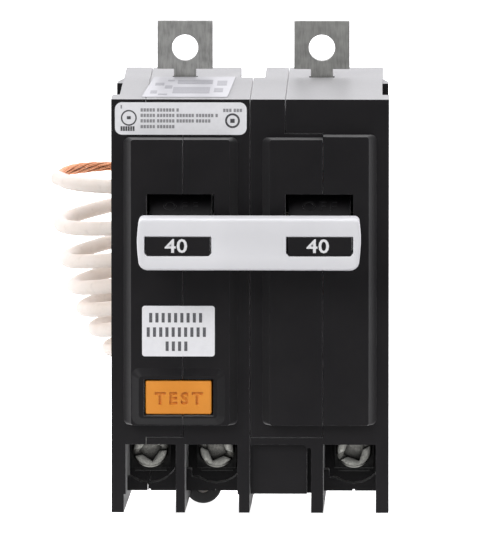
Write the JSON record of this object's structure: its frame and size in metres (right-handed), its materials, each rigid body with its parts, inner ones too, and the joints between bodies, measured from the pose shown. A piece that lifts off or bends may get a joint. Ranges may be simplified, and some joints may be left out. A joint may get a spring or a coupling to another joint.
{
  "type": "circuit breaker",
  "caption": "Bolt-on ground-fault circuit breaker with tied handles, test button, line tangs, screw terminals and a coiled neutral pigtail.",
  "frame": {"origin": "middle of the back mounting face, on the joint between the two poles and halfway up the case", "axes": "+X to the right seen from the front, +Y to the back (out of the mounting face), +Z towards the line end"},
  "size_m": [0.0641, 0.1017, 0.0919],
  "materials": {
    "moulded_case": "black moulded thermoset, satin with a slight grain",
    "handle_tie": "light grey moulded plastic",
    "test_orange": "orange moulded plastic",
    "plated_copper": "tin-plated copper, dull grey",
    "silver_contact": "silver alloy, satin",
    "copper": "bare copper",
    "zinc_screw": "zinc-plated steel, worn satin",
    "zinc_steel": "zinc-plated steel",
    "spring_steel": "drawn spring wire",
    "bimetal": "rolled bimetal strip",
    "fibre": "vulcanised fibre",
    "coil_winding": "enamelled copper winding",
    "sensor_core": "epoxy-coated ring core",
    "board_green": "circuit board with solder mask",
    "lead_insulation": "black wire insulation",
    "pigtail_insulation": "cream-white extruded wire insulation",
    "bushing_rubber": "black strain-relief bushing",
    "label_film": "printed label film"
  },
  "bodies": {
    "case": {"left_cover": "moulded_case", "left_base": "moulded_case", "right_cover": "moulded_case", "right_base": "moulded_case", "left_line_tang": "plated_copper", "right_line_tang": "plated_copper", "load_a_strap": "plated_copper", "neutral_strap": "plated_copper", "load_b_strap": "plated_copper", "left_fixed_contact": "silver_contact", "right_fixed_contact": "silver_contact", "test_contact_spring": "copper", "pigtail_strands": "copper", "left_magnet_yoke": "zinc_steel", "right_magnet_yoke": "zinc_steel", "left_arm_pin": "zinc_steel", "right_arm_pin": "zinc_steel", "left_cradle_pin": "zinc_steel", "right_cradle_pin": "zinc_steel", "rivet_upper_front": "zinc_steel", "rivet_upper_back": "zinc_steel", "rivet_lower_front": "zinc_steel", "rivet_lower_back": "zinc_steel", "left_bimetal": "bimetal", "right_bimetal": "bimetal", "left_arc_chute": "fibre", "right_arc_chute": "fibre", "trip_solenoid": "coil_winding", "differential_sensor": "sensor_core", "circuit_board": "board_green", "load_lead_a": "lead_insulation", "load_lead_b": "lead_insulation", "pigtail_wire": "pigtail_insulation", "pigtail_bushing": "bushing_rubber", "info_label": "label_film", "notice_label": "label_film", "top_sticker": "label_film"},
    "handle": {"handle_tie": "handle_tie", "left_handle": "moulded_case", "right_handle": "moulded_case"},
    "trip_bar": {"trip_bar": "fibre"},
    "solenoid_plunger": {"solenoid_plunger": "zinc_steel"},
    "test_button": {"test_button": "test_orange"},
    "left_contact_arm": {"left_contact_arm": "copper", "left_moving_contact": "silver_contact", "left_operating_spring": "spring_steel"},
    "left_cradle": {"left_cradle": "zinc_steel"},
    "left_armature": {"left_armature": "zinc_steel"},
    "right_contact_arm": {"right_contact_arm": "copper", "right_moving_contact": "silver_contact", "right_operating_spring": "spring_steel"},
    "right_cradle": {"right_cradle": "zinc_steel"},
    "right_armature": {"right_armature": "zinc_steel"},
    "load_a_clamp": {"load_a_clamp": "zinc_steel"},
    "load_a_screw": {"load_a_screw": "zinc_screw"},
    "neutral_clamp": {"neutral_clamp": "zinc_steel"},
    "neutral_screw": {"neutral_screw": "zinc_screw"},
    "load_b_clamp": {"load_b_clamp": "zinc_steel"},
    "load_b_screw": {"load_b_screw": "zinc_screw"}
  },
  "joints": [
    {"name": "handle_throw", "type": "hinge", "parent": "case", "child": "handle", "pos_m": [0, -0.05, 0.0135], "axis": [-1, 0, 0], "range_deg": [-20, 22]},
    {"name": "left_arm_swing", "type": "hinge", "parent": "case", "child": "left_contact_arm", "pos_m": [-0.0127, -0.03, 0.0019], "axis": [-1, 0, 0], "range_deg": [-12, 12.1]},
    {"name": "left_cradle_reset", "type": "hinge", "parent": "case", "child": "left_cradle", "pos_m": [-0.0127, -0.033, 0.0119], "axis": [1, 0, 0], "range_deg": [0, 12]},
    {"name": "right_arm_swing", "type": "hinge", "parent": "case", "child": "right_contact_arm", "pos_m": [0.0127, -0.03, 0.0019], "axis": [-1, 0, 0], "range_deg": [-12, 12.1]},
    {"name": "right_cradle_reset", "type": "hinge", "parent": "case", "child": "right_cradle", "pos_m": [0.0127, -0.033, 0.0119], "axis": [1, 0, 0], "range_deg": [0, 12]},
    {"name": "trip", "type": "hinge", "parent": "case", "child": "trip_bar", "pos_m": [0, -0.0085, 0.0099], "axis": [1, 0, 0], "range_deg": [0, 12.05]},
    {"name": "left_armature_pull", "type": "hinge", "parent": "case", "child": "left_armature", "pos_m": [-0.0127, -0.0127, -0.0161], "axis": [-1, 0, 0], "range_deg": [0, 4.05]},
    {"name": "right_armature_pull", "type": "hinge", "parent": "case", "child": "right_armature", "pos_m": [0.0127, -0.0127, -0.0161], "axis": [-1, 0, 0], "range_deg": [0, 4.05]},
    {"name": "plunger_stroke", "type": "slide", "parent": "case", "child": "solenoid_plunger", "axis": [0, 1, 0], "range_m": [0, 0.0049]},
    {"name": "test_press", "type": "slide", "parent": "case", "child": "test_button", "axis": [0, 1, 0], "range_m": [0, 0.0015], "stiffness_N_per_m": 600},
    {"name": "load_a_screw_turn", "type": "hinge", "parent": "load_a_clamp", "child": "load_a_screw", "pos_m": [-0.0187, -0.038, -0.0288], "axis": [0, 1, 0], "range_deg": [-721, 721]},
    {"name": "load_a_clamp_travel", "type": "slide", "parent": "case", "child": "load_a_clamp", "axis": [0, 1, 0], "range_m": [-0.0016, 0.0016]},
    {"name": "neutral_screw_turn", "type": "hinge", "parent": "neutral_clamp", "child": "neutral_screw", "pos_m": [-0.0064, -0.038, -0.0288], "axis": [0, 1, 0], "range_deg": [-721, 721]},
    {"name": "neutral_clamp_travel", "type": "slide", "parent": "case", "child": "neutral_clamp", "axis": [0, 1, 0], "range_m": [-0.0016, 0.0016]},
    {"name": "load_b_screw_turn", "type": "hinge", "parent": "load_b_clamp", "child": "load_b_screw", "pos_m": [0.0189, -0.038, -0.0288], "axis": [0, 1, 0], "range_deg": [-721, 721]},
    {"name": "load_b_clamp_travel", "type": "slide", "parent": "case", "child": "load_b_clamp", "axis": [0, 1, 0], "range_m": [-0.0016, 0.0016]}
  ],
  "couplings": [
    {"joint": "left_arm_swing", "follows": "handle_throw", "ratio": 0.5454},
    {"joint": "right_arm_swing", "follows": "handle_throw", "ratio": 0.5454},
    {"joint": "trip", "follows": "plunger_stroke", "rad_per_m": 42.74},
    {"joint": "left_armature_pull", "follows": "plunger_stroke", "rad_per_m": 14.247},
    {"joint": "right_armature_pull", "follows": "plunger_stroke", "rad_per_m": 14.247},
    {"joint": "load_a_screw_turn", "follows": "load_a_clamp_travel", "rad_per_m": 7854},
    {"joint": "neutral_screw_turn", "follows": "neutral_clamp_travel", "rad_per_m": 7854},
    {"joint": "load_b_screw_turn", "follows": "load_b_clamp_travel", "rad_per_m": 7854}
  ]
}
